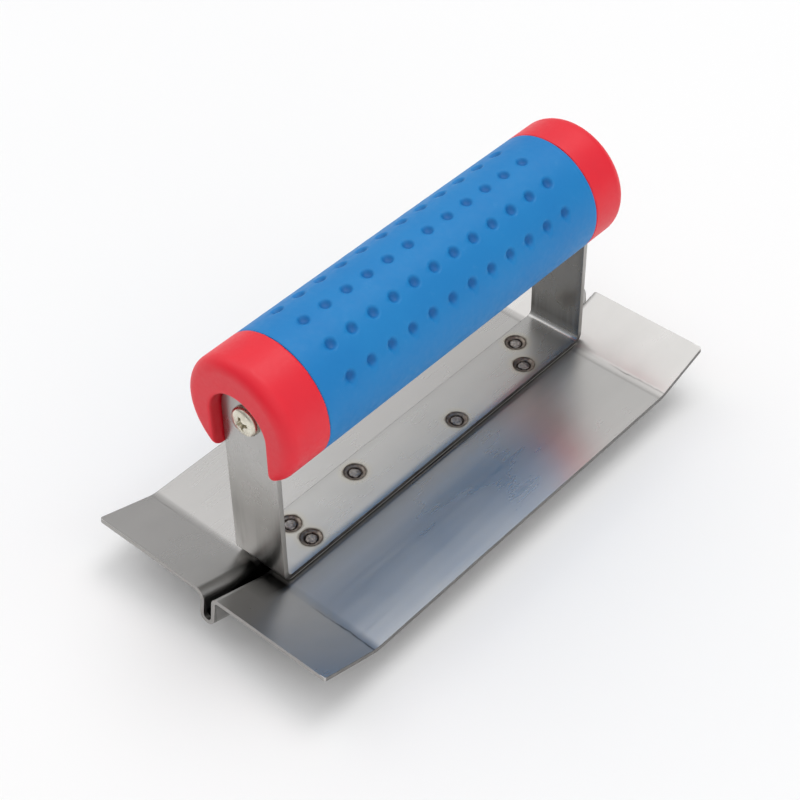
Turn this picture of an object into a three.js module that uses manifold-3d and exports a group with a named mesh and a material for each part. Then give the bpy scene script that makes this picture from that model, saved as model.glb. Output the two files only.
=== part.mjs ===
// Concrete groover: a hand tool that presses a straight joint into fresh concrete.
// Millimetres. X runs across the blade, Y along it, Z up. The origin lies under the middle
// of the blade, at the level of the lowest point of the groove bit.
import * as THREE from 'three';
import { mergeVertices } from 'three/addons/utils/BufferGeometryUtils.js';
import Module from 'manifold-3d';

const wasm = await Module();
wasm.setup();

// ---- driving dimensions ----------------------------------------------------------------

// blade: one pressed sheet with both ends turned up and the bit down its middle
const sheet = 1.2;
const bladeWidth = 77.3;
const bladeHalfLength = 75.2;
const foldAt = 57.6;
const foldRadius = 8;
const foldAngle = THREE.MathUtils.degToRad(17.5);
const endCutLean = 0.45 * foldAngle;
const cornerRadius = 0.8;
const bitHalfWidth = 2.45;
const bitDepth = 9.3;
const lipRadius = { left: 1.8, right: 0.8 };
const soleTop = bitDepth;

// strap: the U-shaped bracket that carries the handle
const strapThickness = 1.5;
const strapWidth = 16.8;
const strapGap = 0.3;
const strapBend = 3;
const strapFront = -57.5;
const strapBack = 60.9;
const strapHole = 3.15;

// spot welds between strap and blade, as [x, y] of each centre
const weldCentres = [[3.5, -43], [-3.7, -43], [-3.7, -19], [3.7, 13], [3.6, 41.5], [-3.8, 47]];
const weldRadius = 2.9;
const weldDish = 0.25;

// handle: a round grip between two end caps, all on one axis along Y
const handleRadius = 16.9;
const handleHeight = soleTop + 52.2;
const handleFront = -60.9;
const handleBack = 64.5;
const gripFront = -47.5;
const gripBack = 52.1;
const gripGap = 0.3;
const coreRadius = 13.5;
const coreClearance = 0.3;
const slotClearance = 0.4;
const socketDepth = 6.2;
const capEdge = 3.6;
const mouthFillet = 1;

// dimples: rows along the grip, spread over its upper side
const dimpleRows = 5;
const dimpleRowAngle = 30;
const dimplesPerRow = 12;
const dimplePitch = 7.19;
const dimpleRadius = 1.65;
const dimpleDepth = 0.8;
const dimpleShift = 0.9;
const gripTurn = -2;

// screws: one pan head at each end of the handle
const screwHeight = soleTop + 51;
const screwRadius = 2;
const screwClearance = 0.3;
const screwLength = 18;
const screwPoint = 3;
const headRadius = 4;
const headHeight = 2.3;
const recessSpan = 3.8;
const recessWidth = 0.9;
const recessDepth = 1.4;

// ---- materials -------------------------------------------------------------------------

const finishes = {
  blade: { color: 0xb6b5b1, roughness: 0.3, metalness: 1 },
  strap: { color: 0xbebdba, roughness: 0.32, metalness: 1 },
  weld: { color: 0x6f6a62, roughness: 0.5, metalness: 1 },
  grip: { color: 0x2a78c2, roughness: 0.6, metalness: 0 },
  cap: { color: 0xe0323f, roughness: 0.5, metalness: 0 },
  core: { color: 0xc9c6bd, roughness: 0.7, metalness: 0 },
  screw: { color: 0xd6d0c2, roughness: 0.3, metalness: 1 },
};

// ---- tools -----------------------------------------------------------------------------

const turn = THREE.MathUtils.degToRad;
const cylinderFacets = 72;

// A closed solid from a closed geometry, once its shared corners are merged.
function solid(geometry) {
  const bare = geometry.clone();
  bare.deleteAttribute('normal');
  bare.deleteAttribute('uv');
  const merged = mergeVertices(bare, 1e-5);
  return new wasm.Manifold(new wasm.Mesh({
    numProp: 3,
    vertProperties: Float32Array.from(merged.attributes.position.array),
    triVerts: Uint32Array.from(merged.index.array),
  }));
}

// A named mesh from a solid.
function piece(name, body, finish) {
  const mesh = body.getMesh();
  const geometry = new THREE.BufferGeometry();
  geometry.setAttribute('position', new THREE.BufferAttribute(mesh.vertProperties, 3));
  geometry.setIndex(new THREE.BufferAttribute(mesh.triVerts, 1));
  geometry.computeVertexNormals();
  const part = new THREE.Mesh(geometry, new THREE.MeshStandardMaterial(finishes[finish]));
  part.name = name;
  return part;
}

// A shape drawn in (y, z) and extruded across X, centred on X = 0.
function acrossX(shape, width) {
  const settings = { depth: width, bevelEnabled: false, curveSegments: 10 };
  const geometry = new THREE.ExtrudeGeometry(shape, settings);
  geometry.translate(0, 0, -width / 2);
  return solid(geometry.applyMatrix4(new THREE.Matrix4().set(
    0, 0, 1, 0,
    1, 0, 0, 0,
    0, 1, 0, 0,
    0, 0, 0, 1,
  )));
}

// A shape drawn in (x, z) and extruded along Y from y0 to y1.
function alongY(shape, y0, y1) {
  const settings = { depth: y1 - y0, bevelEnabled: false, curveSegments: 16 };
  const geometry = new THREE.ExtrudeGeometry(shape, settings);
  geometry.rotateX(Math.PI / 2);
  geometry.translate(0, y1, 0);
  return solid(geometry);
}

// A shape drawn in (x, z) and swept along Y through stations, which run from the highest Y
// to the lowest. place(x, z, station) gives the point that a corner of the shape takes there.
function sweep(shape, stations, place, curveSegments) {
  const steps = stations.length - 1;
  const settings = { depth: steps, steps, bevelEnabled: false, curveSegments };
  const geometry = new THREE.ExtrudeGeometry(shape, settings);
  const corners = geometry.attributes.position;
  for (let i = 0; i < corners.count; i += 1) {
    const station = stations[Math.round(corners.getZ(i))];
    corners.setXYZ(i, ...place(corners.getX(i), corners.getY(i), station));
  }
  return solid(geometry);
}

// A round bar along Y from y0 to y1, with its axis at height z.
function barY(radius, y0, y1, z, facets = cylinderFacets) {
  const geometry = new THREE.CylinderGeometry(radius, radius, y1 - y0, facets);
  geometry.translate(0, (y0 + y1) / 2, 0);
  return solid(geometry).translate([0, 0, z]);
}

// A round bar along Z from z0 to z1, centred on (x, y).
function barZ(radius, z0, z1, x, y, facets = 24) {
  const geometry = new THREE.CylinderGeometry(radius, radius, z1 - z0, facets);
  geometry.rotateX(Math.PI / 2);
  geometry.translate(x, y, (z0 + z1) / 2);
  return solid(geometry);
}

// A block between two corners.
function block(low, high) {
  const size = high.map((value, axis) => value - low[axis]);
  const geometry = new THREE.BoxGeometry(...size);
  geometry.translate(...low.map((value, axis) => value + size[axis] / 2));
  return solid(geometry);
}

// ---- blade -----------------------------------------------------------------------------

// Half of the blade's length as stations from the middle out: the height of its top surface
// and the lean of the section there.
function halfStations() {
  const tangent = foldRadius * Math.tan(foldAngle / 2);
  const start = foldAt - tangent;
  const stations = [{ y: start, z: soleTop, lean: 0 }];
  const steps = 4;
  for (let i = 1; i <= steps; i += 1) {
    const angle = (foldAngle * i) / steps;
    stations.push({
      y: start + foldRadius * Math.sin(angle),
      z: soleTop + foldRadius * (1 - Math.cos(angle)),
      lean: (endCutLean * i) / steps,
    });
  }
  const last = stations.at(-1);
  const tipHeight = last.z + (bladeHalfLength - last.y) * Math.tan(foldAngle);
  stations.push({ y: bladeHalfLength, z: tipHeight, lean: endCutLean });
  return stations;
}

// The blade's section, drawn with its top surface at height 0.
function bladeSection() {
  const half = bladeWidth / 2;
  const inner = bitHalfWidth - sheet;
  const roundDepth = bitDepth - bitHalfWidth;
  const { left, right } = lipRadius;
  const section = new THREE.Shape();
  section.moveTo(-half, 0);
  section.lineTo(-bitHalfWidth - left, 0);
  section.absarc(-bitHalfWidth - left, -sheet - left, left + sheet, Math.PI / 2, 0, true);
  section.lineTo(-inner, -roundDepth);
  section.absarc(0, -roundDepth, inner, Math.PI, 2 * Math.PI, false);
  section.lineTo(inner, -sheet - right);
  section.absarc(bitHalfWidth + right, -sheet - right, right + sheet, Math.PI, Math.PI / 2, true);
  section.lineTo(half, 0);
  section.lineTo(half, -sheet);
  section.lineTo(bitHalfWidth + right, -sheet);
  section.absarc(bitHalfWidth + right, -sheet - right, right, Math.PI / 2, Math.PI, false);
  section.lineTo(bitHalfWidth, -roundDepth);
  section.absarc(0, -roundDepth, bitHalfWidth, 0, -Math.PI, true);
  section.lineTo(-bitHalfWidth, -sheet - left);
  section.absarc(-bitHalfWidth - left, -sheet - left, left, 0, Math.PI / 2, false);
  section.lineTo(-half, -sheet);
  section.closePath();
  return section;
}

// What lies outside the rounding of the corner at (+X, +Y), as an upright cutter whose
// origin is the corner itself.
function cornerTrim() {
  const shape = new THREE.Shape();
  shape.moveTo(-cornerRadius, cornerRadius);
  shape.lineTo(-cornerRadius, 0);
  shape.absarc(-cornerRadius, -cornerRadius, cornerRadius, Math.PI / 2, 0, true);
  shape.lineTo(cornerRadius, -cornerRadius);
  shape.lineTo(cornerRadius, cornerRadius);
  shape.closePath();
  return solid(new THREE.ExtrudeGeometry(shape, {
    depth: 3 * soleTop, bevelEnabled: false, curveSegments: 5,
  }));
}

function makeBlade() {
  const half = halfStations();
  const mirrored = half.map((at) => ({ y: -at.y, z: at.z, lean: -at.lean }));
  const stations = [...half.toReversed(), ...mirrored];
  let blade = sweep(bladeSection(), stations, (x, z, at) => [
    x,
    at.y - z * Math.sin(at.lean),
    at.z + z * Math.cos(at.lean),
  ], 6);
  const corner = cornerTrim().translate([bladeWidth / 2, bladeHalfLength, 0]);
  for (const sides of [corner, corner.mirror([1, 0, 0])]) {
    blade = blade.subtract(sides).subtract(sides.mirror([0, 1, 0]));
  }
  return piece('blade', blade, 'blade');
}

// ---- strap and welds -------------------------------------------------------------------

const strapFloor = soleTop + strapGap;
const strapTop = strapFloor + strapThickness;

function strapProfile() {
  const tip = screwHeight + strapWidth / 2;
  const outer = strapBend;
  const inner = strapBend - strapThickness;
  const frontInner = strapFront + strapThickness;
  const backInner = strapBack - strapThickness;
  const profile = new THREE.Shape();
  profile.moveTo(strapFront, tip);
  profile.lineTo(strapFront, strapFloor + outer);
  profile.absarc(strapFront + outer, strapFloor + outer, outer, Math.PI, 1.5 * Math.PI, false);
  profile.lineTo(strapBack - outer, strapFloor);
  profile.absarc(strapBack - outer, strapFloor + outer, outer, -Math.PI / 2, 0, false);
  profile.lineTo(strapBack, tip);
  profile.lineTo(backInner, tip);
  profile.lineTo(backInner, strapTop + inner);
  profile.absarc(backInner - inner, strapTop + inner, inner, 0, -Math.PI / 2, true);
  profile.lineTo(frontInner + inner, strapTop);
  profile.absarc(frontInner + inner, strapTop + inner, inner, -Math.PI / 2, -Math.PI, true);
  profile.lineTo(frontInner, tip);
  profile.closePath();
  return profile;
}

// An arch: straight sides below its centre and a half circle above it.
function archShape(radius, centre, foot) {
  const arch = new THREE.Shape();
  arch.moveTo(-radius, foot);
  arch.lineTo(radius, foot);
  arch.lineTo(radius, centre);
  arch.absarc(0, centre, radius, 0, Math.PI, false);
  arch.closePath();
  return arch;
}

function makeStrap() {
  let strap = acrossX(strapProfile(), strapWidth);
  const outline = archShape(strapWidth / 2, screwHeight, soleTop);
  strap = strap.intersect(alongY(outline, strapFront - 1, strapBack + 1));
  const hole = barY(screwRadius + screwClearance, strapFront - 1, strapBack + 1, screwHeight, 32);
  strap = strap.subtract(hole);
  for (const [x, y] of weldCentres) {
    strap = strap.subtract(barZ(strapHole, soleTop, strapTop + 1, x, y));
  }
  return piece('handle_strap', strap, 'strap');
}

function makeWeld(index) {
  const [x, y] = weldCentres[index];
  const nugget = barZ(weldRadius, soleTop, strapTop - weldDish, x, y);
  return piece(`spot_weld_${index + 1}`, nugget, 'weld');
}

// ---- handle ----------------------------------------------------------------------------

// The end cap's body: a short round bar whose outer edge is rounded over. It is turned
// about the handle's axis and stands between the seam with the grip and its end face.
function capBody(length) {
  const profile = [new THREE.Vector2(0, 0), new THREE.Vector2(handleRadius, 0)];
  const steps = 6;
  for (let i = 0; i <= steps; i += 1) {
    const angle = ((Math.PI / 2) * i) / steps;
    profile.push(new THREE.Vector2(
      handleRadius - capEdge * (1 - Math.cos(angle)),
      length - capEdge * (1 - Math.sin(angle)),
    ));
  }
  profile.push(new THREE.Vector2(0, length));
  return solid(new THREE.LatheGeometry(profile, cylinderFacets));
}

// The slot that takes the strap: an arch open at the bottom, which widens at its mouth in
// a round lip. It runs along Y from its floor at 0 to beyond the end face at depth, and its
// heights are from the handle's axis.
function slotCutter(depth) {
  const radius = strapWidth / 2 + slotClearance;
  const centre = screwHeight - handleHeight;
  const stations = [{ y: depth + 1, grow: mouthFillet }];
  const steps = 5;
  for (let i = 0; i <= steps; i += 1) {
    const angle = ((Math.PI / 2) * i) / steps;
    stations.push({
      y: depth - mouthFillet * (1 - Math.cos(angle)),
      grow: mouthFillet * (1 - Math.sin(angle)),
    });
  }
  stations.push({ y: 0, grow: 0 });
  const shape = archShape(radius, centre, -handleRadius - 1);
  return sweep(shape, stations, (x, z, at) => {
    const scale = 1 + at.grow / radius;
    return [x * scale, at.y, z > centre ? centre + (z - centre) * scale : z];
  }, 16);
}

// A cap with its seam at y = 0 and its end face at y = length, on the handle's axis.
function capShape(length, slotDepth) {
  const floor = length - slotDepth;
  const socket = barY(coreRadius + coreClearance, -1, socketDepth, 0);
  const hole = barY(screwRadius + screwClearance, 0, length + 1, screwHeight - handleHeight, 32);
  return capBody(length)
    .subtract(slotCutter(slotDepth).translate([0, floor, 0]))
    .subtract(socket)
    .subtract(hole);
}

function makeFrontCap() {
  const cap = capShape(gripFront - handleFront, strapFront + strapThickness - handleFront);
  const placed = cap.rotate([0, 0, 180]).translate([0, gripFront, handleHeight]);
  return piece('front_end_cap', placed, 'cap');
}

function makeBackCap() {
  const cap = capShape(handleBack - gripBack, handleBack - (strapBack - strapThickness));
  return piece('rear_end_cap', cap.translate([0, gripBack, handleHeight]), 'cap');
}

function makeCore() {
  const reach = socketDepth - coreClearance;
  const bore = screwHeight;
  const core = barY(coreRadius, gripFront - reach, gripBack + reach, handleHeight, 64)
    .subtract(barY(screwRadius + screwClearance, strapFront, strapFront + screwLength + 2, bore, 32))
    .subtract(barY(screwRadius + screwClearance, strapBack - screwLength - 2, strapBack, bore, 32));
  return piece('handle_core', core, 'core');
}

// The soft sleeve, with its rows of shallow round dimples.
function makeGrip() {
  const front = gripFront + gripGap;
  const back = gripBack - gripGap;
  let grip = barY(handleRadius, front, back, handleHeight)
    .subtract(barY(coreRadius + coreClearance, front - 1, back + 1, handleHeight, 64));
  const ballRadius = (dimpleRadius ** 2 + dimpleDepth ** 2) / (2 * dimpleDepth);
  const ballCentre = handleRadius + ballRadius - dimpleDepth;
  const ball = solid(new THREE.SphereGeometry(ballRadius, 12, 9));
  const middle = (gripFront + gripBack) / 2 - dimpleShift;
  for (let row = 0; row < dimpleRows; row += 1) {
    const angle = turn(90 + gripTurn + dimpleRowAngle * (row - (dimpleRows - 1) / 2));
    const x = ballCentre * Math.cos(angle);
    const z = handleHeight + ballCentre * Math.sin(angle);
    for (let i = 0; i < dimplesPerRow; i += 1) {
      const y = middle + dimplePitch * (i - (dimplesPerRow - 1) / 2);
      grip = grip.subtract(ball.translate([x, y, z]));
    }
  }
  return piece('grip_sleeve', grip, 'grip');
}

// ---- screws ----------------------------------------------------------------------------

// A pan-head screw with a cross recess, its head's seat at y = 0 and its shank along +Y.
function screwShape() {
  const profile = [new THREE.Vector2(0, 0), new THREE.Vector2(headRadius, 0)];
  const edge = 0.55 * headHeight;
  const steps = 5;
  for (let i = 0; i <= steps; i += 1) {
    const angle = ((Math.PI / 2) * i) / steps;
    profile.push(new THREE.Vector2(
      headRadius - edge * (1 - Math.cos(angle)),
      0.8 * headHeight - edge * (1 - Math.sin(angle)),
    ));
  }
  profile.push(new THREE.Vector2(0, headHeight));
  const head = solid(new THREE.LatheGeometry(profile, 36)).rotate([0, 0, 180]);
  const shank = barY(screwRadius, -recessDepth / 2, screwLength - screwPoint, 0, 32);
  const point = new THREE.CylinderGeometry(screwRadius / 4, screwRadius, screwPoint, 32);
  point.translate(0, screwLength - screwPoint / 2, 0);
  let screw = head.add(shank).add(solid(point));
  const half = recessSpan / 2;
  const thin = recessWidth / 2;
  const floor = -headHeight + recessDepth;
  screw = screw.subtract(block([-half, -headHeight - 1, -thin], [half, floor, thin]));
  screw = screw.subtract(block([-thin, -headHeight - 1, -half], [thin, floor, half]));
  return screw;
}

function makeFrontScrew() {
  return piece('front_screw', screwShape().translate([0, strapFront, screwHeight]), 'screw');
}

function makeBackScrew() {
  const turned = screwShape().rotate([0, 0, 180]);
  return piece('rear_screw', turned.translate([0, strapBack, screwHeight]), 'screw');
}

// ---- assembly --------------------------------------------------------------------------

const group = new THREE.Group();
group.name = 'concrete_groover';
group.add(makeBlade());
group.add(makeStrap());
weldCentres.forEach((_, index) => group.add(makeWeld(index)));
group.add(makeFrontCap());
group.add(makeBackCap());
group.add(makeCore());
group.add(makeGrip());
group.add(makeFrontScrew());
group.add(makeBackScrew());

export default group;
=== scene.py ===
"""A concrete groover, dressed around its CAD frame: satin stainless sheet, a moulded red and blue
handle, spot welds and screws. Metres, +Z up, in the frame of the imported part."""
import math

import bmesh
import bpy
import numpy as np
from mathutils import Matrix, Vector


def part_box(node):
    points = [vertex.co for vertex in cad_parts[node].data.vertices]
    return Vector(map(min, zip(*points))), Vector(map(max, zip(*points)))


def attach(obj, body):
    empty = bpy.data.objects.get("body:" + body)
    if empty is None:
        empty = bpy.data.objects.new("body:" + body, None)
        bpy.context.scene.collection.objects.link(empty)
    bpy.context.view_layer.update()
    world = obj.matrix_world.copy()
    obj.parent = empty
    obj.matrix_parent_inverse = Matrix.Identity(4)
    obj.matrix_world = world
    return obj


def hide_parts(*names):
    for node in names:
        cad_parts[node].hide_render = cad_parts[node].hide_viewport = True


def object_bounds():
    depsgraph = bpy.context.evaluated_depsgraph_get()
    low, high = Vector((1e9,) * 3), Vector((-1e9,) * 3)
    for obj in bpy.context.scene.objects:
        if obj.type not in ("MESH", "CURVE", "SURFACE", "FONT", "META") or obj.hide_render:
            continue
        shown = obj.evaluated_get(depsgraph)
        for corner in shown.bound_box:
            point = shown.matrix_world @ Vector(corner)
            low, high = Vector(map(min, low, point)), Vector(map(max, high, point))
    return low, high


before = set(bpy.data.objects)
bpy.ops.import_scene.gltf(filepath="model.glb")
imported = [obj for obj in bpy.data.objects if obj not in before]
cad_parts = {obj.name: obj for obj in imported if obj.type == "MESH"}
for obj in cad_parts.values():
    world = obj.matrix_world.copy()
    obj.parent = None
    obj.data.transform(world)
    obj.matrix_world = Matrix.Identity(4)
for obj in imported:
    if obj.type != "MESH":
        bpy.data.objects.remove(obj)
cad_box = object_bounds()

MM = 0.001
KEY_LIGHT = (-0.03, 0.4, 0.916)
FILL_LIGHT = (0.75, -0.15, 0.64)
SOFTBOX = (-0.6, -0.1, 0.8)
SOFTBOX_PEAK = 1.8
rng = np.random.default_rng(7)

# ---- sizes, from the frame --------------------------------------------------------------

_, blade_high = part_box("blade")
strap_low, strap_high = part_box("handle_strap")
grip_low, grip_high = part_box("grip_sleeve")
cap_boxes = {"front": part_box("front_end_cap"), "rear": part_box("rear_end_cap")}
screw_boxes = {"front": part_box("front_screw"), "rear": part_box("rear_screw")}
WELDS = [name for name in sorted(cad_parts) if name.startswith("spot_weld_")]
weld_boxes = [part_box(name) for name in WELDS]
weld_centres = [(low + high) / 2 for low, high in weld_boxes]

SHEET = 1.2 * MM
SOLE_TOP = weld_boxes[0][0].z
BLADE_HALF = blade_high.x
BIT_HALF = 2.45 * MM
LIP_LEFT = 1.8 * MM
LIP_RIGHT = 0.8 * MM
FOLD_ANGLE = math.radians(17.5)
FOLD_RADIUS = 10 * MM
END_LEAN = 0.45 * FOLD_ANGLE
TIP_Y = blade_high.y - SOLE_TOP * math.sin(END_LEAN)
FOLD_Y = TIP_Y - 17.6 * MM
CORNER = 0.8 * MM

STRAP_THICK = 1.5 * MM
STRAP_BEND = 3 * MM
STRAP_HALF = strap_high.x
STRAP_TOP = strap_low.z + STRAP_THICK

HANDLE_R = grip_high.x
HANDLE_Z = (grip_low.z + grip_high.z) / 2
SEAM_GAP = 0.3 * MM
SEAM = {"front": grip_low.y - SEAM_GAP, "rear": grip_high.y + SEAM_GAP}
SLOT_HALF = STRAP_HALF + 0.4 * MM
SOCKET_R = 13.8 * MM
SOCKET_DEPTH = 6.2 * MM
SCREW_HOLE_R = 2.3 * MM
SCREW_Z = (screw_boxes["front"][0].z + screw_boxes["front"][1].z) / 2
HEAD_R = screw_boxes["front"][1].x


# ---- meshes -----------------------------------------------------------------------------

def add_object(name, points, faces, smooth=True):
    mesh = bpy.data.meshes.new(name)
    mesh.from_pydata([tuple(map(float, p)) for p in points], [], [tuple(map(int, f)) for f in faces])
    mesh.validate()
    thing = bpy.data.objects.new(name, mesh)
    bpy.context.scene.collection.objects.link(thing)
    if smooth:
        mesh.polygons.foreach_set("use_smooth", [True] * len(mesh.polygons))
    outward(mesh)
    return thing


def outward(mesh):
    """Turns every face of a closed mesh outwards."""
    work = bmesh.new()
    work.from_mesh(mesh)
    bmesh.ops.recalc_face_normals(work, faces=work.faces)
    work.to_mesh(mesh)
    work.free()


def loft(name, rings, closed_along=False):
    """A closed skin over rings of points. Without closed_along, its two ends are capped."""
    rings = np.asarray(rings, float)
    count, around = rings.shape[:2]
    base = np.arange(count * around).reshape(count, around)
    last = base if closed_along else base[:-1]
    after = np.roll(base, -1, 0) if closed_along else base[1:]
    quads = np.stack([last, np.roll(last, -1, 1), np.roll(after, -1, 1), after], -1).reshape(-1, 4)
    faces = quads.tolist()
    if not closed_along:
        faces += [base[0].tolist()[::-1], base[-1].tolist()]
    return add_object(name, rings.reshape(-1, 3), faces)


def grow(name, field, low, high, step):
    """A closed mesh of the surface where field is zero, inside the box from low to high: one
    point in each grid cell that the surface crosses, then pulled onto the surface."""
    low = np.asarray(low, float)
    counts = [int(math.ceil((high[i] - low[i]) / step)) + 1 for i in range(3)]
    axes = [low[i] + step * np.arange(counts[i]) for i in range(3)]
    value = field(*np.meshgrid(*axes, indexing="ij"))
    inside = value < 0
    cells = tuple(c - 1 for c in counts)
    total = np.zeros(cells + (3,))
    hits = np.zeros(cells)
    for axis in range(3):
        second, third = (axis + 1) % 3, (axis + 2) % 3
        for b in (0, 1):
            for c in (0, 1):
                shift = [0, 0, 0]
                shift[second], shift[third] = b, c
                start = tuple(slice(shift[i], shift[i] + cells[i]) for i in range(3))
                shift[axis] = 1
                stop = tuple(slice(shift[i], shift[i] + cells[i]) for i in range(3))
                cross = inside[start] != inside[stop]
                spread = np.where(cross, value[start] - value[stop], 1)
                total[..., axis] += np.where(cross, value[start] / spread, 0)
                total[..., second] += b * cross
                total[..., third] += c * cross
                hits += cross
    used = hits > 0
    index = np.full(cells, -1)
    index[used] = np.arange(used.sum())
    points = low + step * (np.argwhere(used) + total[used] / hits[used][:, None])
    faces = []
    for axis in range(3):
        second, third = (axis + 1) % 3, (axis + 2) % 3
        keep = [slice(1, -1)] * 3
        keep[axis] = slice(0, -1)
        ahead = list(keep)
        ahead[axis] = slice(1, None)
        first, after = inside[tuple(keep)], inside[tuple(ahead)]
        at = np.argwhere(first != after)
        out = first[tuple(at.T)]
        at[:, second] += 1
        at[:, third] += 1
        corner = []
        for b, c in ((1, 1), (0, 1), (0, 0), (1, 0)):
            cell = at.copy()
            cell[:, second] -= b
            cell[:, third] -= c
            corner.append(index[tuple(cell.T)])
        quad = np.stack(corner, 1)
        faces.append(np.where(out[:, None], quad, quad[:, ::-1]))
    small = step * 0.05
    for _ in range(4):
        here = field(*points.T)
        slope = np.stack([
            field(*(points + small * np.eye(3)[i]).T) - field(*(points - small * np.eye(3)[i]).T)
            for i in range(3)
        ], 1) / (2 * small)
        square = np.maximum((slope ** 2).sum(1), 0.05)
        points = points - slope * np.clip(here / square, -step, step)[:, None]
    return add_object(name, points, np.concatenate(faces))


def arc(centre, radius, start, stop, steps):
    """Points on a circle from one angle to another, both ends included, angles in degrees."""
    angle = np.radians(np.linspace(start, stop, steps + 1))
    return np.stack([centre[0] + radius * np.cos(angle), centre[1] + radius * np.sin(angle)], 1)


def wave(phase, *terms):
    """A gentle irregular line: the sum of sines given as (amplitude, frequency, offset)."""
    return sum(a * np.sin(f * phase + o) for a, f, o in terms)


SHARP_ANGLE = math.radians(40)


def soften(thing, width):
    """Rounds every sharp edge and lets the flat faces keep their own shading."""
    bevel = thing.modifiers.new("edges", "BEVEL")
    bevel.width = width
    bevel.segments = 2
    bevel.limit_method = "ANGLE"
    bevel.angle_limit = SHARP_ANGLE
    bevel.harden_normals = False
    weighted = thing.modifiers.new("shading", "WEIGHTED_NORMAL")
    weighted.weight = 80
    weighted.keep_sharp = False


def both_max(a, b, radius):
    """The larger of two distances, with the corner between them rounded to a radius."""
    reach = np.hypot(np.maximum(a + radius, 0), np.maximum(b + radius, 0))
    return np.minimum(-radius, np.maximum(a, b)) + reach


# ---- materials --------------------------------------------------------------------------

def srgb(*values):
    """A colour given as 0 to 255 on screen, in the linear numbers that shaders use."""
    linear = [((v / 255 + 0.055) / 1.055) ** 2.4 if v > 10 else v / 255 / 12.92 for v in values]
    return (*linear, 1.0)


# Near-black grey for the painted shade in the bit and the painted shadow at the strap's foot.
SHADE_TONE = srgb(26, 24, 24)


class Shader:
    """A material under construction: its node tree, and short ways to add to it."""

    def __init__(self, name, **sockets):
        self.material = bpy.data.materials.new(name)
        self.material.use_nodes = True
        self.tree = self.material.node_tree
        self.surface = self.tree.nodes["Principled BSDF"]
        for socket, value in sockets.items():
            self.surface.inputs[socket.replace("_", " ")].default_value = value
        self.place = self.node("ShaderNodeTexCoord").outputs["Object"]

    def node(self, kind, inputs=None, **settings):
        made = self.tree.nodes.new(kind)
        for key, value in settings.items():
            setattr(made, key, value)
        for key, value in (inputs or {}).items():
            if isinstance(value, bpy.types.NodeSocket):
                self.tree.links.new(value, made.inputs[key])
            else:
                made.inputs[key].default_value = value
        return made

    def stretch(self, scale, turn=(0, 0, 0)):
        placing = {"Vector": self.place, "Scale": scale, "Rotation": turn}
        return self.node("ShaderNodeMapping", placing).outputs[0]

    def noise(self, scale, detail=2, vector=None, rough=0.5):
        return self.node("ShaderNodeTexNoise", {
            "Vector": vector or self.place, "Scale": scale, "Detail": detail, "Roughness": rough,
        }).outputs["Fac"]

    def spots(self, scale, vector):
        return self.node("ShaderNodeTexVoronoi", {"Vector": vector, "Scale": scale}).outputs["Distance"]

    def coordinate(self, axis):
        return self.node("ShaderNodeSeparateXYZ", {0: self.place}).outputs[axis]

    def remap(self, value, low, high, to_low=0.0, to_high=1.0):
        return self.node("ShaderNodeMapRange", {
            "Value": value, "From Min": low, "From Max": high, "To Min": to_low, "To Max": to_high,
        }).outputs[0]

    def math(self, kind, a, b=0.0):
        return self.node("ShaderNodeMath", {0: a, 1: b}, operation=kind).outputs[0]

    def mix(self, amount, a, b):
        made = self.node("ShaderNodeMix", {"Factor": amount}, data_type="RGBA")
        for key, value in ((6, a), (7, b)):
            if isinstance(value, bpy.types.NodeSocket):
                self.tree.links.new(value, made.inputs[key])
            else:
                made.inputs[key].default_value = value
        return made.outputs[2]

    def bump(self, height, distance, strength):
        return self.node("ShaderNodeBump", {
            "Height": height, "Distance": distance, "Strength": strength,
        }).outputs[0]

    def finish(self, color=None, rough=None, normal=None):
        for socket, value in (("Base Color", color), ("Roughness", rough), ("Normal", normal)):
            if value is not None:
                self.tree.links.new(value, self.surface.inputs[socket])
        return self.material


def steel(name, light, dark, rough, brushed, grain, seed, *details):
    """Satin stainless: a rolled grain, cloudy smears and a few specks. Each of the details is a
    function that changes the colour and roughness further."""
    s = Shader(name, Metallic=1.0, Anisotropic=brushed)
    across = s.node("ShaderNodeCombineXYZ", {"X": 1.0}).outputs[0]
    s.tree.links.new(across, s.surface.inputs["Tangent"])
    cloud = s.noise(35, 4, s.stretch((1, 0.6, 1), (0, 0, seed)), 0.6)
    rolled = s.noise(1, 3, s.stretch(grain))
    color = s.mix(s.remap(cloud, 0.3, 0.75), light, dark)
    speck = s.remap(s.spots(120, s.stretch((1, 1, 1), (seed, 0.3, 0.9))), 0.03, 0.06, 1.0, 0.0)
    rare = s.remap(s.noise(60, 1, s.stretch((1, 1, 1), (0, seed, 1))), 0.6, 0.63)
    color = s.mix(s.math("MULTIPLY", s.math("MULTIPLY", speck, rare), 0.55), color, srgb(88, 80, 70))
    shine = s.remap(cloud, 0.25, 0.8, rough - 0.05, rough + 0.07)
    shine = s.math("ADD", shine, s.math("MULTIPLY", s.remap(rolled, 0.35, 0.65), 0.02))
    for detail in details:
        color, shine = detail(s, color, shine)
    return s.finish(color, shine, s.bump(rolled, 0.004 * MM, 0.07))


def sheared_edge(s, color, shine, amount, tone):
    """The cut edge of the sheet, torn and duller than its faces."""
    torn = s.noise(1, 2, s.stretch((300, 300, 2500)))
    color = s.mix(s.math("MULTIPLY", amount, s.remap(torn, 0.3, 0.7, 0.75, 1.0)), color, tone)
    return color, s.math("ADD", shine, s.math("MULTIPLY", amount, 0.12))


def beyond(s, axis, limit):
    """1 where the surface lies farther out than limit along an axis, on either side."""
    return s.remap(s.math("ABSOLUTE", s.coordinate(axis)), limit - 0.02 * MM, limit + 0.02 * MM)


def blade_edges(s, color, shine):
    sides = beyond(s, "X", BLADE_HALF - 0.1 * MM)
    ends = beyond(s, "Y", TIP_Y - 0.04 * MM)
    color, shine = sheared_edge(s, color, shine, sides, srgb(112, 110, 108))
    return sheared_edge(s, color, shine, ends, srgb(160, 158, 155))


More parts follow.
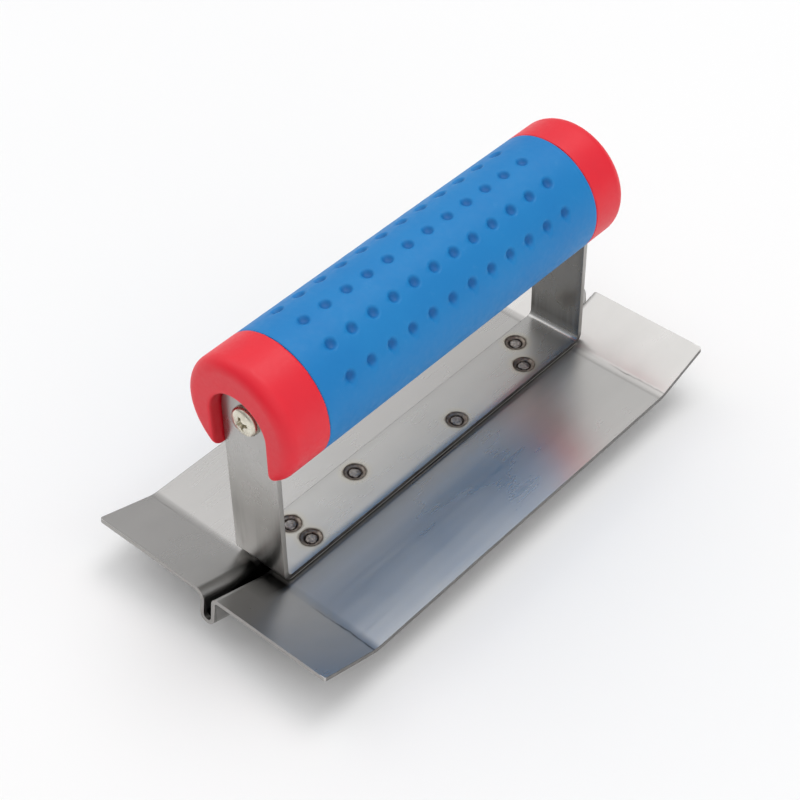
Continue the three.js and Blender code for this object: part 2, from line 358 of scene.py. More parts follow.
def topside(s):
    """1 on the blade's upper surface and inside the bit, 0 on its underside."""
    normal = s.node("ShaderNodeSeparateXYZ", {0: s.node("ShaderNodeTexCoord").outputs["Normal"]})
    outward_x = s.math("MULTIPLY", normal.outputs["X"], s.math("SIGN", s.coordinate("X")))
    return s.remap(s.math("SUBTRACT", normal.outputs["Z"], outward_x), -0.1, 0.1)


def groove_painted_shade(s, color, shine):
    """Painted shade, dark in the depth of the bit."""
    depth = s.math("SUBTRACT", SOLE_TOP, s.coordinate("Z"))
    deep = s.remap(depth, 0.05 * MM, 1.3 * MM)
    shifted = s.math("ADD", s.coordinate("X"), 0.9 * MM)
    within = s.remap(s.math("ABSOLUTE", shifted), 2.0 * MM, 3.6 * MM, 1.0, 0.0)
    ends = s.remap(s.math("ABSOLUTE", s.coordinate("Y")), TIP_Y - 0.4 * MM, TIP_Y - 0.1 * MM, 1.0, 0.0)
    # Painted shade: darker with depth inside the bit, kept to its upper surface.
    amount = s.math("MULTIPLY", s.math("MULTIPLY", deep, within), s.math("MULTIPLY", ends, 0.95))
    amount = s.math("MULTIPLY", amount, topside(s))
    return s.mix(amount, color, SHADE_TONE), s.math("ADD", shine, s.math("MULTIPLY", amount, 0.2))


def strap_foot_painted_shadow(s, color, shine):
    """Painted shadow: a dark pool on the blade in front of the strap, drawn out of the bit, and painted
    shade on its right.
    """
    ahead = s.math("SUBTRACT", strap_low.y, s.coordinate("Y"))
    along = s.math("MULTIPLY", s.remap(ahead, -1.2 * MM, 0), s.remap(ahead, 0, 9 * MM, 0.95, 0.0))
    aside = s.math("ABSOLUTE", s.math("SUBTRACT", s.coordinate("X"), 2.5 * MM))
    # Painted shadow on the blade in front of the strap's foot.
    foot_shadow = s.math("MULTIPLY", along, s.remap(aside, 6 * MM, 8.2 * MM, 1.0, 0.0))
    middle, half = (strap_low.y + strap_high.y) / 2, (strap_high.y - strap_low.y) / 2
    inside = s.remap(s.math("ABSOLUTE", s.math("SUBTRACT", s.coordinate("Y"), middle)),
                     half - 3 * MM, half + 2 * MM, 1.0, 0.0)
    outside = s.remap(s.coordinate("X"), STRAP_HALF + 0.5 * MM, STRAP_HALF + 7 * MM, 0.34, 0.0)
    # Painted shade on the blade along the strap's right side.
    side_shade = s.math("MULTIPLY", outside, s.remap(s.coordinate("X"), 0.0, 1 * MM))
    amount = s.math("MULTIPLY", s.math("MAXIMUM", foot_shadow, s.math("MULTIPLY", side_shade, inside)), topside(s))
    return s.mix(amount, color, SHADE_TONE), shine


def brake_line_and_fold_shade(s, color, shine):
    """A band of painted shade along each fold, heavier on the rear fold, and the brake's thin wavering line
    near the blade's sides, clearest on the right."""
    waver = s.remap(s.noise(160, 2), 0.2, 0.8, -0.4 * MM, 0.4 * MM)
    along = s.math("ADD", s.math("ABSOLUTE", s.coordinate("Y")), waver)
    off = s.math("ABSOLUTE", s.math("SUBTRACT", along, FOLD_Y + 0.7 * MM))
    line = s.remap(off, 0.12 * MM, 0.4 * MM, 1.0, 0.0)
    outer = s.remap(s.math("ABSOLUTE", s.coordinate("X")), 0.4 * BLADE_HALF, 0.75 * BLADE_HALF)
    broken = s.remap(s.noise(240, 2, s.stretch((1, 0.2, 1))), 0.35, 0.6, 0.45, 0.85)
    outer = s.math("MULTIPLY", outer, s.remap(s.coordinate("X"), -20 * MM, 20 * MM, 0.3, 1.0))
    amount = s.math("MULTIPLY", line, s.math("MULTIPLY", outer, broken))
    straight = s.math("ABSOLUTE", s.coordinate("Y"))
    beside = s.math("ABSOLUTE", s.math("SUBTRACT", straight, FOLD_Y - 0.3 * MM))
    # Painted shade over each fold's bend, dimming its reflection, heavier on the rear fold.
    fold_shade = s.remap(beside, 0.9 * MM, 1.6 * MM, 1.0, 0.0)
    fold_shade = s.math("MULTIPLY", fold_shade, s.remap(s.coordinate("Y"), -20 * MM, 20 * MM, 0.1, 0.3))
    return s.mix(s.math("MAXIMUM", amount, fold_shade), color, srgb(70, 66, 64)), shine


def strap_edges(s, color, shine):
    """Torn edges, darkened by painted shade along the blade and lighter up the uprights, with a thin
    painted highlight line.
    """
    sides = beyond(s, "X", STRAP_HALF - 0.14 * MM)
    rise = s.math("SUBTRACT", s.coordinate("Z"), strap_low.z)
    edge_highlight = s.math("MULTIPLY", s.remap(rise, 0.1 * MM, 0.2 * MM),
                       s.remap(rise, 0.4 * MM, 0.5 * MM, 1.0, 0.0))
    # Painted shade on the base's side edges beside the blade, lighter up the uprights; a painted highlight
    # line near the foot.
    torn = s.mix(s.remap(rise, 1.5 * MM, 4 * MM), srgb(50, 46, 46), srgb(176, 174, 171))
    torn = s.mix(edge_highlight, torn, srgb(196, 194, 190))
    return sheared_edge(s, color, shine, sides, torn)


def upright_streaks_and_shade(s, color, shine):
    """Uprights with darker streaks near the bends and painted shade by height, heaviest at the rear
    upright's foot; a base that grows darker towards the rear.
    """
    height = s.math("SUBTRACT", s.coordinate("Z"), STRAP_TOP)
    upright = s.remap(height, 0.5 * MM, 4 * MM)
    low = s.remap(height, 4 * MM, 26 * MM, 1.0, 0.0)
    streak = s.remap(s.noise(1, 2, s.stretch((480, 60, 34)), 0.6), 0.45, 0.7)
    border = s.remap(s.math("ABSOLUTE", s.coordinate("X")), 3.5 * MM, 7 * MM, 0.35, 1.0)
    dirt = s.math("MULTIPLY", s.math("MULTIPLY", streak, border), s.math("MULTIPLY", low, 0.45))
    # Painted shade on the uprights, deepening with height to mid height, a little lighter at the top.
    height_shade = s.math("SUBTRACT", s.remap(height, 3 * MM, 16 * MM, 0.06, 0.44),
                  s.remap(height, 24 * MM, 34 * MM, 0.0, 0.12))
    # Painted shade at the foot of the rear upright.
    foot = s.math("SUBTRACT", s.remap(height, 2 * MM, 14 * MM, 0.7, 0.0), s.math("MULTIPLY", height_shade, 0.9))
    rear = s.math("MULTIPLY", s.remap(s.coordinate("Y"), 0, 1 * MM), foot)
    base = s.remap(s.coordinate("Y"), -50 * MM, 50 * MM, 0.0, 0.2)
    amount = s.math("MULTIPLY", upright, s.math("ADD", s.math("ADD", height_shade, dirt), rear))
    amount = s.math("MAXIMUM", amount, base)
    return s.mix(amount, color, srgb(112, 110, 106)), s.math("ADD", shine, s.math("MULTIPLY", amount, 0.08))


def from_weld(s):
    """How far the surface lies from the middle of the nearest spot weld."""
    nearest = None
    for centre in weld_centres:
        away = s.node("ShaderNodeVectorMath", {0: s.place, 1: (centre.x, centre.y, STRAP_TOP)},
                      operation="DISTANCE").outputs["Value"]
        nearest = away if nearest is None else s.math("MINIMUM", nearest, away)
    return nearest


def weld_tint(s, color, shine):
    """Straw and brown heat colours on the steel round each spot weld."""
    ragged = s.math("ADD", from_weld(s), s.remap(s.noise(500, 3), 0.2, 0.8, -0.35 * MM, 0.35 * MM))
    straw = s.remap(ragged, 3.1 * MM, 5.0 * MM, 0.26, 0.0)
    brown = s.remap(ragged, 2.9 * MM, 3.5 * MM, 0.75, 0.0)
    color = s.mix(straw, color, srgb(196, 184, 150))
    color = s.mix(brown, color, srgb(96, 84, 72))
    return color, s.math("ADD", shine, s.math("MULTIPLY", brown, 0.15))


def weld_steel():
    """Scorched nugget: a dark ring, a greyer pressed centre and a blotchy crust."""
    s = Shader("weld_scorched", Metallic=1.0)
    blotch = s.noise(900, 4)
    ring = s.math("ADD", from_weld(s), s.remap(blotch, 0.2, 0.8, -0.25 * MM, 0.25 * MM))
    crust = s.mix(s.remap(blotch, 0.3, 0.7), srgb(142, 133, 123), srgb(108, 98, 92))
    pale = s.mix(s.remap(s.noise(1500, 2), 0.3, 0.7), srgb(158, 153, 149), srgb(126, 120, 116))
    trough = s.mix(s.remap(blotch, 0.35, 0.65), srgb(64, 56, 52), srgb(44, 38, 38))
    color = s.mix(s.remap(ring, 1.5 * MM, 1.7 * MM), pale, trough)
    color = s.mix(s.remap(ring, 1.85 * MM, 2.2 * MM), color, crust)
    edge = s.remap(ring, 2.5 * MM, 2.95 * MM)
    color = s.mix(s.math("MULTIPLY", edge, 0.75), color, srgb(74, 66, 58))
    rough = s.remap(blotch, 0.3, 0.7, 0.34, 0.55)
    return s.finish(color, rough, s.bump(blotch, 0.05 * MM, 0.6))


def moulded_plastic():
    """Red satin plastic with a fine spark-eroded texture, flow clouding and painted shade inside the slot.
    """
    s = Shader("cap_red", Specular_IOR_Level=0.44, IOR=1.5)
    cloud = s.noise(70, 3, rough=0.6)
    color = s.mix(s.remap(cloud, 0.35, 0.7), srgb(236, 24, 46), srgb(230, 30, 50))
    # Painted shade: the slot's walls darkened to deep crimson.
    above = s.math("MAXIMUM", s.math("SUBTRACT", s.coordinate("Z"), SCREW_Z), 0.0)
    spread = s.math("ADD", s.math("MULTIPLY", above, above),
                    s.math("MULTIPLY", s.coordinate("X"), s.coordinate("X")))
    within = s.remap(s.math("SQRT", spread), SLOT_HALF + 0.1 * MM, SLOT_HALF + 0.4 * MM, 0.85, 0.0)
    color = s.mix(within, color, srgb(200, 8, 30))
    rough = s.remap(s.noise(900, 2), 0.3, 0.7, 0.40, 0.50)
    grain = s.noise(3200, 2)
    return s.finish(color, rough, s.bump(grain, 0.012 * MM, 0.5))


def soft_rubber():
    """Blue soft-touch elastomer: a dry sheen, a fine pebble, painted shade in the dimples and paler worn
    patches.
    """
    s = Shader("grip_blue", Specular_IOR_Level=0.38, IOR=1.48)
    cloud = s.noise(45, 3, rough=0.6)
    color = s.mix(s.remap(cloud, 0.3, 0.75), srgb(10, 123, 193), srgb(18, 130, 198))
    axis = s.node("ShaderNodeVectorMath", {0: s.place, 1: (1, 0, 1), 2: (0, 0, -HANDLE_Z)},
                  operation="MULTIPLY_ADD").outputs[0]
    reach = s.node("ShaderNodeVectorMath", {0: axis}, operation="LENGTH").outputs["Value"]
    # Painted shade in the dimples, darker the deeper the skin is pressed in.
    dimple_shade = s.remap(reach, HANDLE_R - 0.9 * MM, HANDLE_R - 0.12 * MM, 0.5, 0.0)
    color = s.mix(dimple_shade, color, srgb(6, 62, 132))
    rub = s.remap(s.noise(180, 4, rough=0.7), 0.62, 0.78)
    color = s.mix(s.math("MULTIPLY", rub, 0.12), color, srgb(110, 170, 220))
    rough = s.remap(s.noise(600, 2), 0.3, 0.7, 0.46, 0.58)
    grain = s.math("ADD", s.noise(2600, 3), s.math("MULTIPLY", s.noise(500, 2), 0.5))
    return s.finish(color, rough, s.bump(grain, 0.015 * MM, 0.6))


def core_plastic():
    """Uncoloured plastic for the core, which nothing shows."""
    s = Shader("core_natural")
    color = s.mix(s.remap(s.noise(120, 3), 0.3, 0.7), srgb(205, 200, 190), srgb(190, 186, 176))
    rough = s.remap(s.noise(400, 2), 0.3, 0.7, 0.5, 0.7)
    return s.finish(color, rough, s.bump(s.noise(900, 2), 0.02 * MM, 0.4))


def plated_steel():
    """Bright nickel with a warm cast, duller in the tool marks."""
    s = Shader("screw_nickel", Metallic=1.0)
    cloud = s.noise(500, 3)
    color = s.mix(s.remap(cloud, 0.3, 0.7), srgb(232, 228, 214), srgb(206, 200, 184))
    rings = s.noise(1, 2, s.stretch((900, 900, 3500)))
    return s.finish(color, s.remap(cloud, 0.3, 0.7, 0.2, 0.34), s.bump(rings, 0.01 * MM, 0.4))


# ---- blade ------------------------------------------------------------------------------

def blade_stations():
    """Half of the blade as (y, rise, lean) from the flat part out to the tip."""
    tangent = FOLD_RADIUS * math.tan(FOLD_ANGLE / 2)
    flat = [(y, 0.0, 0.0) for y in np.linspace(0, FOLD_Y - tangent, 16)[1:]]
    bend = []
    for angle in np.linspace(0, FOLD_ANGLE, 11)[1:]:
        y = FOLD_Y - tangent + FOLD_RADIUS * math.sin(angle)
        bend.append((y, FOLD_RADIUS * (1 - math.cos(angle)), END_LEAN * angle / FOLD_ANGLE))
    y0, rise0, _ = bend[-1]
    slope = math.tan(FOLD_ANGLE)
    plain = np.linspace(y0, TIP_Y - CORNER, 6)[1:]
    rounded = TIP_Y - CORNER + CORNER * np.sin(np.radians([22, 42, 60, 75, 90]))
    end = [(y, rise0 + (y - y0) * slope, END_LEAN) for y in [*plain, *rounded]]
    return flat + bend + end


def blade_section(half_width):
    """The section as (x, depth below the top surface), once round."""
    inner = BIT_HALF - SHEET
    round_at = SOLE_TOP - BIT_HALF
    spread = np.linspace(0, 1, 15)[1:]
    left_x = -BIT_HALF - LIP_LEFT
    right_x = BIT_HALF + LIP_RIGHT
    down = np.linspace(0, 1, 4)[1:-1]
    left_z = SHEET + LIP_LEFT
    right_z = SHEET + LIP_RIGHT

    def side(x, top, bottom):
        return np.stack([np.full(len(down), x), top + (bottom - top) * down], 1)

    top = [
        np.stack([-half_width + (half_width + left_x) * np.concatenate([[0], spread[:-1]]),
                  np.zeros(len(spread))], 1),
        arc((left_x, left_z), LIP_LEFT + SHEET, -90, 0, 8),
        side(-inner, left_z, round_at),
        arc((0, round_at), inner, 180, 0, 14),
        side(inner, round_at, right_z),
        arc((right_x, right_z), LIP_RIGHT + SHEET, 180, 270, 8),
        np.stack([right_x + (half_width - right_x) * spread, np.zeros(len(spread))], 1),
    ]
    below = [
        np.stack([half_width + (right_x - half_width) * np.concatenate([[0], spread[:-1]]),
                  np.full(len(spread), SHEET)], 1),
        arc((right_x, right_z), LIP_RIGHT, 270, 180, 6),
        side(BIT_HALF, right_z, round_at),
        arc((0, round_at), BIT_HALF, 0, 180, 18),
        side(-BIT_HALF, round_at, left_z),
        arc((left_x, left_z), LIP_LEFT, 0, -90, 6),
        np.stack([left_x - (half_width + left_x) * spread, np.full(len(spread), SHEET)], 1),
    ]
    return np.concatenate(top + below)


def make_blade():
    half = blade_stations()
    stations = [(-y, rise, -lean) for y, rise, lean in reversed(half)] + [(0.0, 0.0, 0.0)] + half
    rings = []
    for y, rise, lean in stations:
        over = max(0.0, abs(y) - (TIP_Y - CORNER))
        inset = CORNER - math.sqrt(max(CORNER ** 2 - over ** 2, 0.0))
        section = blade_section(BLADE_HALF - inset)
        x, depth = section.T
        ring_y = y + depth * math.sin(lean)
        ring_z = SOLE_TOP + rise - depth * math.cos(lean)
        dent = wave(x * 90, (0.03, 1, y * 55), (0.02, 2.3, y * 90 + 1)) * MM
        away = np.clip((np.abs(x) - 10 * MM) / (8 * MM), 0, 1)
        rings.append(np.stack([x, ring_y, ring_z + dent * away], 1))
    blade = loft("blade_sheet", rings)
    soften(blade, 0.16 * MM)
    return blade


# ---- strap and welds --------------------------------------------------------------------

def strap_path():
    """The strap's middle line as (y, z, normal y, normal z, half width), front top to rear top."""
    half_thick = STRAP_THICK / 2
    front, rear = strap_low.y + half_thick, strap_high.y - half_thick
    base = strap_low.z + half_thick
    radius = STRAP_BEND - half_thick
    dome = [STRAP_HALF * math.sin(math.radians(a)) for a in (4, 15, 30, 45, 60, 75, 90)]
    rise = [SCREW_Z + math.sqrt(STRAP_HALF ** 2 - w ** 2) for w in dome]
    legs = np.linspace(SCREW_Z, base + radius, 14)[1:]
    path = [(front, z, -1, 0, w) for z, w in zip(rise, dome)]
    path += [(front, z, -1, 0, STRAP_HALF) for z in legs]
    for angle in np.radians(np.linspace(180, 270, 10)[1:]):
        c, s = math.cos(angle), math.sin(angle)
        path.append((front + radius + radius * c, base + radius + radius * s, c, s, STRAP_HALF))
    for y in np.linspace(front + radius, rear - radius, 40)[1:]:
        path.append((y, base, 0, -1, STRAP_HALF))
    for angle in np.radians(np.linspace(270, 360, 10)[1:]):
        c, s = math.cos(angle), math.sin(angle)
        path.append((rear - radius + radius * c, base + radius + radius * s, c, s, STRAP_HALF))
    path += [(rear, z, 1, 0, STRAP_HALF) for z in legs[::-1][1:]]
    path += [(rear, z, 1, 0, w) for z, w in zip(rise[::-1], dome[::-1])]
    return path


def strap_section(half_width):
    """Round the strip once, as (across, out): sheared edges with a small rounding."""
    edge = min(0.16 * MM, half_width * 0.4)
    half = STRAP_THICK / 2
    corners = []
    for cx, cy, start in ((1, 1, 0), (-1, 1, 90), (-1, -1, 180), (1, -1, 270)):
        centre = (cx * (half_width - edge), cy * (half - edge))
        corners.append(arc(centre, edge, start, start + 90, 4))
    flat = np.linspace(0, 1, 9)[1:-1, None]
    top = corners[0][-1] + (corners[1][0] - corners[0][-1]) * flat
    bottom = corners[2][-1] + (corners[3][0] - corners[2][-1]) * flat
    return np.concatenate([corners[0], top, corners[1], corners[2], bottom, corners[3]])


def bore(thing, centre, radius, depth, axis):
    """Cuts a round hole through thing, along Z or Y, and leaves the cutter out of the scene."""
    turn = Matrix.Rotation(math.radians(90), 4, "X") if axis == "Y" else Matrix.Identity(4)
    work = bmesh.new()
    bmesh.ops.create_cone(work, cap_ends=True, segments=64, radius1=radius, radius2=radius, depth=depth,
                          matrix=Matrix.Translation(centre) @ turn)
    mesh = bpy.data.meshes.new("cutter")
    work.to_mesh(mesh)
    work.free()
    cutter = bpy.data.objects.new("cutter", mesh)
    bpy.context.scene.collection.objects.link(cutter)
    cut = thing.modifiers.new("hole", "BOOLEAN")
    cut.operation = "DIFFERENCE"
    cut.object = cutter
    cut.solver = "EXACT"
    bake(thing)
    bpy.data.objects.remove(cutter)


def bake(thing):
    """Applies a piece's modifiers to its mesh."""
    graph = bpy.context.evaluated_depsgraph_get()
    made = bpy.data.meshes.new_from_object(thing.evaluated_get(graph))
    thing.modifiers.clear()
    thing.data = made


WELD_HOLE = weld_boxes[0][1].x - weld_centres[0].x + 0.15 * MM

# A spot weld from its middle outwards, as (radius, height over the strap), in millimetres: the
# button, the trough round it, the lip and the outer wall.
WELD_PROFILE = [
    (0.05, -0.2), (0.5, -0.19), (0.95, -0.2), (1.25, -0.24), (1.45, -0.34), (1.6, -0.6),
    (1.7, -0.78), (1.8, -0.7), (1.9, -0.5), (2.05, -0.36), (2.3, -0.28), (2.55, -0.24),
    (2.75, -0.16), (2.9, -0.05), (3.0, 0.01), (3.05, -0.03),
]


def make_strap():
    rings = []
    for y, z, ny, nz, half_width in strap_path():
        across, out = strap_section(half_width).T
        rings.append(np.stack([across, y + out * ny, z + out * nz], 1))
    strap = loft("strap_bracket", rings)
    for centre in weld_centres:
        bore(strap, Vector((centre.x, centre.y, STRAP_TOP)), WELD_HOLE, 4 * MM, "Z")
    for y in (strap_low.y, strap_high.y):
        bore(strap, Vector((0, y, SCREW_Z)), SCREW_HOLE_R, 8 * MM, "Y")
    strap.data.polygons.foreach_set("use_smooth", [True] * len(strap.data.polygons))
    strap.data.set_sharp_from_angle(angle=SHARP_ANGLE)
    return strap


def make_weld(index):
    """A pressed nugget, each one a little different, with a bead of spatter on its lip."""
    centre = weld_centres[index]
    around = 72
    turn = np.linspace(0, 2 * math.pi, around, endpoint=False)
    phase = rng.uniform(0, 6, 6)
    lean = rng.uniform(0, 2 * math.pi)
    bead = rng.uniform(0, 2 * math.pi)
    rings = []
    for radius, height in WELD_PROFILE:
        ripple = wave(turn, (0.05, 2, phase[0]), (0.04, 3, phase[1]), (0.025, 7, phase[2]))
        inner = 1.0 - min(1.0, abs(radius - 1.6) / 1.3)
        r = radius * (1 + ripple * inner)
        tilt = 0.12 * np.cos(turn - lean) * np.exp(-((radius - 1.45) / 0.5) ** 2)
        apart = np.hypot(np.sin(turn - bead) * 2.0, radius - 1.95) + (np.cos(turn - bead) < 0)
        tilt = tilt + 0.32 * np.exp(-(apart / 0.2) ** 2)
        crust = wave(turn, (0.02, 5, phase[3]), (0.018, 9, phase[4]), (0.012, 14, phase[5]))
        z = height + tilt + crust * (0.4 < radius < 2.9)
        rings.append(np.stack([centre.x + r * MM * np.cos(turn), centre.y + r * MM * np.sin(turn),
                               STRAP_TOP + z * MM], 1))
    foot = rings[-1].copy()
    foot[:, 2] = SOLE_TOP
    return loft(f"weld_{index + 1}", [*rings, foot])


# ---- handle -----------------------------------------------------------------------------

def make_cap(end):
    """A rounded end with a slot for the strap, its lips and prongs rolled over."""
    low, high = cap_boxes[end]
    out = -1 if end == "front" else 1
    seam = SEAM[end]
    face = low.y if end == "front" else high.y
    strap_face = strap_low.y + STRAP_THICK if end == "front" else strap_high.y - STRAP_THICK
    length = abs(face - seam)
    floor = abs(strap_face - seam)
    edge = 3.4 * MM

    def field(x, y, z):
        along = (y - seam) * out
        up = z - HANDLE_Z
        reach = np.hypot(x, up)
        flash = wave(np.arctan2(up, x), (0.05, 5, 1.0), (0.04, 11, 0.4), (0.03, 23, 2.0)) * MM
        barrel = both_max(reach - HANDLE_R, along - length, edge)
        body = both_max(barrel, flash - 0.02 * MM - along, 0.15 * MM)
        over = z - SCREW_Z
        arch = np.where(over > 0, np.hypot(x, over), np.abs(x)) - SLOT_HALF
        slot = np.maximum(arch, floor - along)
        shape = both_max(body, -slot, 0.9 * MM)
        socket = np.maximum(reach - SOCKET_R, along - SOCKET_DEPTH)
        hole = np.hypot(x, over) - SCREW_HOLE_R
        return np.maximum(np.maximum(shape, -socket), -hole)

    margin = 1.2 * MM
    start = (-HANDLE_R - margin, min(seam, face) - margin, HANDLE_Z - HANDLE_R - margin)
    stop = (HANDLE_R + margin, max(seam, face) + margin, HANDLE_Z + HANDLE_R + margin)
    step = 0.36 * MM
    return grow(f"cap_{end}", field, start, stop, step)


DIMPLE_ANGLES = np.radians(88 + 30.0 * np.arange(-2, 3))
DIMPLE_R = 1.7 * MM
DIMPLE_DEPTH = 1.0 * MM
DIMPLE_PITCH = 7.19 * MM
DIMPLE_YS = (grip_low.y + grip_high.y) / 2 - 0.9 * MM + DIMPLE_PITCH * (np.arange(12) - 5.5)


def spaced(low, high, centres, near, fine, coarse):
    """Positions from low to high, closely spaced within near of each centre."""
    marks = [low]
    while marks[-1] < high:
        close = np.min(np.abs(centres - marks[-1])) < near
        marks.append(marks[-1] + (fine if close else coarse))
    marks.pop()
    if high - marks[-1] >= 0.2 * coarse:
        marks.append(high)
    return np.array(marks)


def make_grip():
    """The soft sleeve, a tube whose skin is pressed in at every dimple."""
    fine = 0.3 * MM / HANDLE_R
    turn = spaced(DIMPLE_ANGLES[2] - math.pi, DIMPLE_ANGLES[2] + math.pi - fine, DIMPLE_ANGLES,
                  2.2 * MM / HANDLE_R, fine, 1.1 * MM / HANDLE_R)
    gap = 0.05 * MM
    front, back = SEAM["front"] + gap, SEAM["rear"] - gap
    edge = 0.3 * MM
    along = spaced(front + edge, back - edge, DIMPLE_YS, 2.2 * MM, 0.3 * MM, 1.1 * MM)
    skin = [(front + edge * (1 - math.cos(a)), HANDLE_R - edge * (1 - math.sin(a)))
            for a in np.radians([0, 30, 60])]
    skin += [(y, HANDLE_R) for y in along]
    skin += [(back - edge * (1 - math.cos(a)), HANDLE_R - edge * (1 - math.sin(a)))
             for a in np.radians([60, 30, 0])]
    skin += [(back, SOCKET_R), (front, SOCKET_R)]
    rings = []
    for y, radius in skin:
        r = np.full(len(turn), radius)
        if radius > SOCKET_R:
            r += wave(turn, (0.02, 3, y * 40), (0.012, 8, y * 90)) * MM
            for angle in DIMPLE_ANGLES:
                for centre in DIMPLE_YS[np.abs(DIMPLE_YS - y) < 2.4 * MM]:
                    away = np.hypot((turn - angle) * HANDLE_R, y - centre) / DIMPLE_R
                    bowl = np.clip(1 - away ** 3, 0, 1) ** 1.3
                    r -= DIMPLE_DEPTH * bowl - 0.03 * MM * np.exp(-((away - 1.12) / 0.2) ** 2)
        rings.append(np.stack([r * np.cos(turn), np.full(len(turn), y), HANDLE_Z + r * np.sin(turn)], 1))
    return loft("grip_skin", rings, closed_along=True)


# ---- screws -----------------------------------------------------------------------------

def make_screw(end):
    """A pan head with a cross recess, and its shank."""
    low, high = screw_boxes[end]
    out = -1 if end == "front" else 1
    seat = strap_low.y if end == "front" else strap_high.y
    head = 2.25 * MM
    length = (high.y - low.y) - head
    spin = 0.25 if end == "front" else 0.9

    def field(x, y, z):
        up = z - SCREW_Z
        reach = np.hypot(x, up)
        along = (y - seat) * out
        dome = np.sqrt(reach ** 2 + (along + 6.5 * MM) ** 2) - (6.5 * MM + head)
        button = both_max(both_max(reach - HEAD_R, dome, 0.7 * MM), -along, 0.12 * MM)
        a = x * math.cos(spin) + up * math.sin(spin)
        b = up * math.cos(spin) - x * math.sin(spin)
        depth = head - along
        slim = 0.52 * MM - 0.12 * depth
        wide = 2.15 * MM - 0.55 * depth
        cross = np.minimum(np.maximum(np.abs(a) - wide, np.abs(b) - slim),
                           np.maximum(np.abs(b) - wide, np.abs(a) - slim))
        well = reach - (1.1 * MM - 0.3 * depth)
        recess = np.maximum(np.minimum(cross, well), depth - 1.7 * MM)
        button = both_max(button, -recess, 0.1 * MM)
        shank = np.maximum(reach - 2 * MM, np.maximum(along - 0.5 * MM, -along - length))
        return np.minimum(button, shank)

    margin = 0.4 * MM
    start = (-HEAD_R - margin, low.y - margin, SCREW_Z - HEAD_R - margin)
    stop = (HEAD_R + margin, high.y + margin, SCREW_Z + HEAD_R + margin)
    step = 0.14 * MM
    return grow(f"screw_{end}", field, start, stop, step)


# ---- putting it together ----------------------------------------------------------------

def dress(piece, node, material):
    """Puts a piece in a CAD node's place and its material."""
    piece.data.materials.clear()
    piece.data.materials.append(material)
    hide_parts(node)
    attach(piece, "root")


blade_finish = steel("blade_satin", srgb(194, 192, 190), srgb(178, 177, 175), 0.265, 0.5,
                     (700, 25, 700), 0.3, groove_painted_shade, strap_foot_painted_shadow, brake_line_and_fold_shade, blade_edges)
strap_finish = steel("strap_satin", srgb(201, 200, 198), srgb(184, 183, 181), 0.25, 0.1,
                     (400, 25, 60), 1.1, upright_streaks_and_shade, strap_edges, weld_tint)
weld_finish = weld_steel()
red = moulded_plastic()
nickel = plated_steel()

dress(make_blade(), "blade", blade_finish)
dress(make_strap(), "handle_strap", strap_finish)
for number, weld_node in enumerate(WELDS):
    dress(make_weld(number), weld_node, weld_finish)
for side in ("front", "rear"):
    dress(make_cap(side), f"{side}_end_cap", red)
    dress(make_screw(side), f"{side}_screw", nickel)
dress(make_grip(), "grip_sleeve", soft_rubber())

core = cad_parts["handle_core"]
core.data.materials.clear()
core.data.materials.append(core_plastic())


# ---- floor, light and camera ------------------------------------------------------------

def make_floor():
    """A pale square under the tool's lowest point."""
    half = 3.0
    corners = [(-half, -half), (half, -half), (half, half), (-half, half)]
    level = cad_box[0].z
    floor = add_object("floor", [(x, y, level) for x, y in corners], [(0, 1, 2, 3)], smooth=False)
    s = Shader("floor_pale", Roughness=0.9)
    color = s.mix(s.remap(s.noise(3, 2), 0.3, 0.7), (0.95, 0.95, 0.95, 1), (0.93, 0.93, 0.935, 1))
    floor.data.materials.append(s.finish(color))


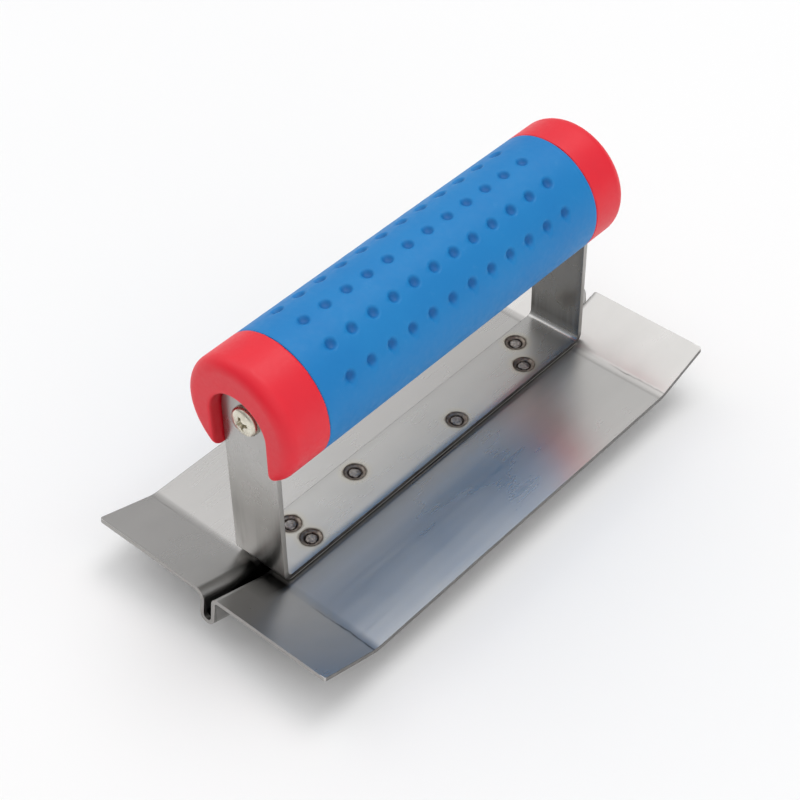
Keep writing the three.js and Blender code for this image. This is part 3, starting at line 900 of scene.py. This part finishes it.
def make_world():
    """A white tent with a soft box high on the left, dim on the right and in front, plus a small
    overhead key and a wide fill on the right."""
    world = bpy.data.worlds.new("studio")
    bpy.context.scene.world = world
    world.use_nodes = True
    tree = world.node_tree
    way = tree.nodes.new("ShaderNodeTexCoord").outputs["Generated"]

    def fade(value, low, high, to_low, to_high):
        made = tree.nodes.new("ShaderNodeMapRange")
        made.interpolation_type = "SMOOTHSTEP"
        for key, number in (("From Min", low), ("From Max", high), ("To Min", to_low), ("To Max", to_high)):
            made.inputs[key].default_value = number
        tree.links.new(value, made.inputs["Value"])
        return made.outputs[0]

    def toward(direction):
        dot = tree.nodes.new("ShaderNodeVectorMath")
        dot.operation = "DOT_PRODUCT"
        dot.inputs[1].default_value = Vector(direction).normalized()
        tree.links.new(way, dot.inputs[0])
        return dot.outputs["Value"]

    def join(kind, a, b):
        made = tree.nodes.new("ShaderNodeMath")
        made.operation = kind
        tree.links.new(a, made.inputs[0])
        tree.links.new(b, made.inputs[1])
        return made.outputs[0]

    ramp = tree.nodes.new("ShaderNodeValToRGB")
    tree.links.new(toward(SOFTBOX), ramp.inputs[0])
    stops = [(0.0, 0.45), (0.41, 0.53), (0.73, 0.67), (0.84, 0.88), (0.94, 1.38), (1.0, SOFTBOX_PEAK)]
    while len(ramp.color_ramp.elements) < len(stops):
        ramp.color_ramp.elements.new(0.5)
    for element, (at, level) in zip(ramp.color_ramp.elements, stops):
        element.position = at
        element.color = (*[level / SOFTBOX_PEAK] * 3, 1)
    sky = join("MULTIPLY", ramp.outputs[0],
               fade(toward((1, 0, 0)), -0.3, 0.5, SOFTBOX_PEAK, 0.42 * SOFTBOX_PEAK))
    sky = join("MULTIPLY", sky, fade(toward((0, 1, 0)), -0.6, 0.05, 0.6, 1.0))
    sky = join("ADD", sky, fade(toward(KEY_LIGHT), 0.93, 1.0, 0.0, 3.4))
    sky = join("ADD", sky, fade(toward(FILL_LIGHT), 0.3, 1.0, 0.0, 0.82))
    background = tree.nodes["Background"]
    tree.links.new(sky, background.inputs["Color"])
    background.inputs["Strength"].default_value = 1.0


def make_camera():
    """The view along the tool from the front right, from above."""
    low, high = cad_box
    size = high - low
    aim = (low + high) / 2 + Vector((0.0263 * size.x, -0.0489 * size.y, -0.0927 * size.z))
    distance = 3.137 * size.y
    azimuth, elevation, roll = (math.radians(a) for a in (42.156, 43.52, 0.952))
    back = Vector((
        math.sin(azimuth) * math.cos(elevation),
        -math.cos(azimuth) * math.cos(elevation),
        math.sin(elevation),
    ))
    right = (-back).cross(Vector((0, 0, 1))).normalized()
    up = right.cross(-back)
    turned_right = right * math.cos(roll) - up * math.sin(roll)
    turned_up = up * math.cos(roll) + right * math.sin(roll)
    data = bpy.data.cameras.new("camera")
    data.lens = 85.47
    data.sensor_width = 36
    data.clip_start = 0.01
    camera = bpy.data.objects.new("camera", data)
    bpy.context.scene.collection.objects.link(camera)
    axes = Matrix((turned_right, turned_up, back)).transposed().to_4x4()
    camera.matrix_world = Matrix.Translation(aim + back * distance) @ axes
    bpy.context.scene.camera = camera


make_floor()
make_world()
make_camera()
bpy.context.scene.view_settings.view_transform = "Standard"
